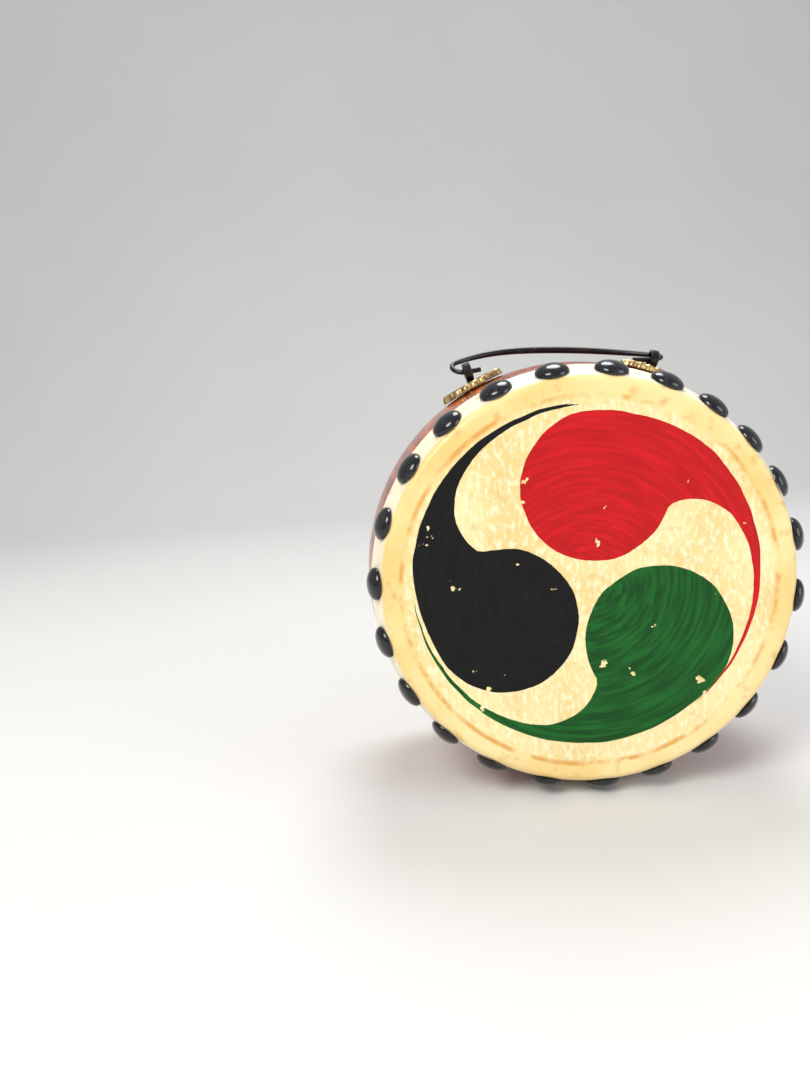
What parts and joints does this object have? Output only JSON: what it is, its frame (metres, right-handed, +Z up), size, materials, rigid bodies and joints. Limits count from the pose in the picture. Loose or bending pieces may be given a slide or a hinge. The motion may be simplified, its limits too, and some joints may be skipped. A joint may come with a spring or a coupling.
{
  "type": "taiko drum",
  "caption": "Small barrel taiko with two nailed rawhide heads, a three-comma emblem and a black iron bail handle.",
  "frame": {"origin": "under the middle of the drum, on the surface that its belly stands on", "axes": "+Z up, the front head faces -Y, the bail's hinge line runs along X"},
  "size_m": [0.1942, 0.1, 0.2037],
  "materials": {
    "lacquered_wood": "gloss",
    "rawhide": "satin",
    "black_nail": "gloss",
    "black_iron": "satin",
    "pressed_brass": "satin"
  },
  "bodies": {
    "drum": {"drum_body": "lacquered_wood", "front_skin": "rawhide", "back_skin": "rawhide", "front_nail_01": "black_nail", "front_nail_02": "black_nail", "front_nail_03": "black_nail", "front_nail_04": "black_nail", "front_nail_05": "black_nail", "front_nail_06": "black_nail", "front_nail_07": "black_nail", "front_nail_08": "black_nail", "front_nail_09": "black_nail", "front_nail_10": "black_nail", "front_nail_11": "black_nail", "front_nail_12": "black_nail", "front_nail_13": "black_nail", "front_nail_14": "black_nail", "front_nail_15": "black_nail", "front_nail_16": "black_nail", "front_nail_17": "black_nail", "front_nail_18": "black_nail", "front_nail_19": "black_nail", "front_nail_20": "black_nail", "front_nail_21": "black_nail", "front_nail_22": "black_nail", "front_nail_23": "black_nail", "back_nail_01": "black_nail", "back_nail_02": "black_nail", "back_nail_03": "black_nail", "back_nail_04": "black_nail", "back_nail_05": "black_nail", "back_nail_06": "black_nail", "back_nail_07": "black_nail", "back_nail_08": "black_nail", "back_nail_09": "black_nail", "back_nail_10": "black_nail", "back_nail_11": "black_nail", "back_nail_12": "black_nail", "back_nail_13": "black_nail", "back_nail_14": "black_nail", "back_nail_15": "black_nail", "back_nail_16": "black_nail", "back_nail_17": "black_nail", "back_nail_18": "black_nail", "back_nail_19": "black_nail", "back_nail_20": "black_nail", "back_nail_21": "black_nail", "back_nail_22": "black_nail", "back_nail_23": "black_nail", "left_plate": "pressed_brass", "right_plate": "pressed_brass", "left_eye_pin": "black_iron", "right_eye_pin": "black_iron"},
    "handle": {"bail_handle": "black_iron"}
  },
  "joints": [
    {"name": "bail_swing", "type": "hinge", "parent": "drum", "child": "handle", "pos_m": [0, 0, 0.19276], "axis": [1, 0, 0], "range_deg": [-12, 144]}
  ]
}
